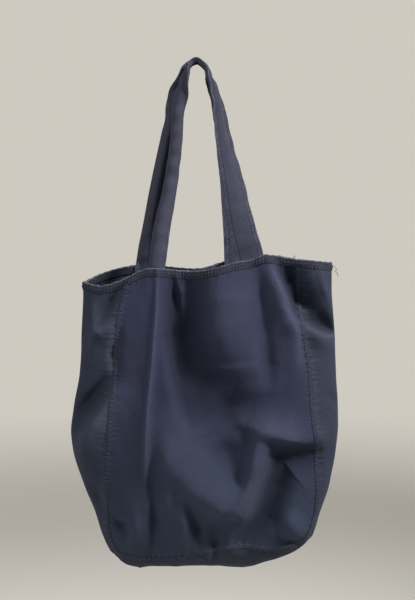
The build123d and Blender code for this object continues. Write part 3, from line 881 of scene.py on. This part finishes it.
def strap(name, stations, toward, seed):
    """A strap with rounded edges and four rows of stitches on each face."""
    frames = strap_frames(stations, toward)
    half = STRAP_WIDTH / 2
    offsets = np.concatenate([np.linspace(-half, half, FACE_POINTS), np.linspace(half, -half, FACE_POINTS)])
    distance = np.abs(offsets)
    groove = sum(np.exp(-(((offsets - row) / 1.1) ** 2)) for row in STRAP_ROWS)
    puff = 1 - 0.65 * groove
    rounding = np.sqrt(np.clip(1 - ((distance - half + 1.4) / 1.5).clip(0, 1) ** 2, 0.02, 1))
    face = np.concatenate([np.ones(FACE_POINTS), -np.ones(FACE_POINTS)])
    lift = (face * STRAP_THICKNESS / 2 * puff * rounding)[None, :]
    at, values = frames[:2]
    pucker = wavy(at, 3.6, 6.5, seed + 5)[:, None]
    lift = lift + 0.10 * face * pucker * np.exp(-((distance - 14.5) / 3) ** 2)[None, :]
    points, _ = strap_surface(frames, offsets, lift, seed, toward)
    edge_wear = np.exp(-((half - distance) / 1.9) ** 2)
    wear = np.clip(edge_wear + 0.7 * np.exp(-((distance - STRAP_RIDGE) / 1.1) ** 2), 0, 1)
    wear = wear[None, :] * (0.75 + 0.25 * wavy(at, 8, 30, seed + 6)[:, None])
    # The back strap's left leg is painted dark on its half behind the front strap, a painted shadow of that
    # strap, and has no wear there.
    middle_x, middle_z = values[:, None, 0], values[:, None, 2]
    painted_shadow = step(-3, 2, points[..., 0] - middle_x) * step(-30, -45, middle_z) * (middle_x < 0) * (toward > 0)
    # The stitch grooves are painted darker, as painted shade.
    piece = make_mesh(name, points, tube=True, wear=np.clip(wear, 0, 1) * (1 - painted_shadow),
                      painted_shading_and_fade=-1.5 * painted_shadow - 0.7 * groove)
    rows = []
    count = len(STRAP_ROWS)
    for level in (STRAP_THICKNESS / 2 * 0.7, -STRAP_THICKNESS / 2 * 0.7):
        row_points, row_normals = strap_surface(frames, STRAP_ROWS, np.full((1, count), level), seed, toward)
        rows += [(row_points[:, i], row_normals[:, i] * np.sign(level)) for i in range(count)]
    thread = stitch_mesh(name + "_thread", rows, pitch=3.5, size=2.6, radius=0.36, lift=0.05)
    return piece, thread


# Each strap and its stitches; the direction up from each fold joint's axis is worked out but not used.
joints = {joint["name"]: joint for joint in frame["joints"]}
for face, stations, toward, seed in STRAPS:
    joint = joints[f"{face}_handle_fold"]
    fold_axis = np.array(joint["axis"])
    upwards = unit(np.cross(fold_axis, (0, toward, 0)))
    upwards = upwards * np.sign(upwards[2])
    piece, thread = strap(f"{face}_strap", stations, toward, seed)
    for part, material, slot, nodes in (
        (piece, strap_canvas, "strap_canvas",
         [f"{face}_handle", f"{face}_left_strap_end", f"{face}_right_strap_end"]),
        (thread, strap_thread, "thread", [f"{face}_handle_stitches"]),
    ):
        finish_piece(part, material, slot, *nodes, ride_on=None)
        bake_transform(part)

# Rows of stitches that hold the strap ends, across each end on the face inside the bag.
END_ROWS, END_HALF = (4, 20), 15
rows = []
for _, stations, toward, seed in STRAPS:
    frames = strap_frames(stations, toward)
    across = np.linspace(-END_HALF, END_HALF, 12)
    inner = np.full((1, len(across)), -STRAP_THICKNESS / 2)
    points, normals = strap_surface(frames, across, inner, seed, toward)
    for distance in END_ROWS:
        for spot in (distance, frames[0][-1] - distance):
            nearest_step = np.argmin(np.abs(frames[0] - spot))
            rows.append((points[nearest_step], -normals[nearest_step]))
thread = stitch_mesh("strap_end_thread", rows)
finish_piece(thread, thread_cloth, "thread", "strap_end_stitches")

# ---------------------------------------------------------------- stage, light and camera

FLOOR_HEIGHT, FLOOR_RADIUS = -1.0, 4.0
floor_mesh = bpy.data.meshes.new("floor")
rim_turns = np.linspace(0, 2 * math.pi, 96, endpoint=False)
floor_points = [(FLOOR_RADIUS * math.cos(t), FLOOR_RADIUS * math.sin(t), FLOOR_HEIGHT) for t in rim_turns]
floor_mesh.from_pydata(floor_points, [], [tuple(range(len(floor_points)))])
floor = bpy.data.objects.new("floor", floor_mesh)
bpy.context.scene.collection.objects.link(floor)

# The floor is pale, and fades out towards its edge into the pale room.
pale = bpy.data.materials.new("pale_floor")
pale.use_nodes = True
nodes, links = pale.node_tree.nodes, pale.node_tree.links
nodes["Principled BSDF"].inputs["Base Color"].default_value = (0.62, 0.60, 0.56, 1)
nodes["Principled BSDF"].inputs["Roughness"].default_value = 0.9
place, reach, painted_shading_and_fade = (nodes.new("ShaderNode" + kind) for kind in ("TexCoord", "VectorMath", "MapRange"))
reach.operation = "LENGTH"
painted_shading_and_fade.interpolation_type = "SMOOTHERSTEP"
painted_shading_and_fade.inputs["From Min"].default_value, painted_shading_and_fade.inputs["From Max"].default_value = 0.6, FLOOR_RADIUS
painted_shading_and_fade.inputs["To Min"].default_value, painted_shading_and_fade.inputs["To Max"].default_value = 1, 0
links.new(place.outputs["Object"], reach.inputs[0])
links.new(reach.outputs["Value"], painted_shading_and_fade.inputs["Value"])
links.new(painted_shading_and_fade.outputs["Result"], nodes["Principled BSDF"].inputs["Alpha"])
floor_mesh.materials.append(pale)

# The room looks pale, and lights the bag more softly than it looks.
ROOM_LIGHT = 0.42
world = bpy.data.worlds.new("pale_room")
world.use_nodes = True
nodes, links = world.node_tree.nodes, world.node_tree.links
seen, dim = nodes.new("ShaderNodeLightPath"), nodes.new("ShaderNodeMapRange")
dim.inputs["To Min"].default_value = ROOM_LIGHT
links.new(seen.outputs["Is Camera Ray"], dim.inputs["Value"])
links.new(dim.outputs["Result"], nodes["Background"].inputs["Strength"])
nodes["Background"].inputs["Color"].default_value = (0.62, 0.59, 0.53, 1)
bpy.context.scene.world = world
bpy.context.scene.view_settings.view_transform = "Standard"


def aim(thing, place, target):
    """Puts a light or camera in place, looking at a target."""
    thing.location = place
    direction = np.array(target, float) - np.array(place, float)
    level = math.hypot(direction[0], direction[1])
    thing.rotation_euler = (math.atan2(level, -direction[2]), 0, math.atan2(-direction[0], direction[1]))


def area_light(name, place, target, size, power, colour, spread):
    """A square light of a size in metres and a power in watts, with its spread in degrees."""
    data = bpy.data.lights.new(name, "AREA")
    data.size, data.energy, data.color = size, power, colour
    data.spread = math.radians(spread)
    light = bpy.data.objects.new(name, data)
    bpy.context.scene.collection.objects.link(light)
    aim(light, place, target)


middle = (0.012, 0, -0.335)
area_light("key_light", (1.62, -0.95, 1.05), middle, 0.45, 9.6, (1.0, 0.97, 0.97), spread=60)
area_light("left_fill", (-1.6, -1.5, 0.8), middle, 1.5, 7.2, (0.97, 0.99, 1.0), spread=80)
area_light("back_light", (0.9, 2.1, 1.0), middle, 1.2, 10, (0.95, 0.97, 1.0), spread=80)

camera_data = bpy.data.cameras.new("camera")
camera = bpy.data.objects.new("camera", camera_data)
bpy.context.scene.collection.objects.link(camera)
camera_data.lens = 72.5
camera_data.shift_y = -0.0275
aim(camera, (0.014, -1.6, -0.20), (0.014, 0, -0.283))
bpy.context.scene.camera = camera
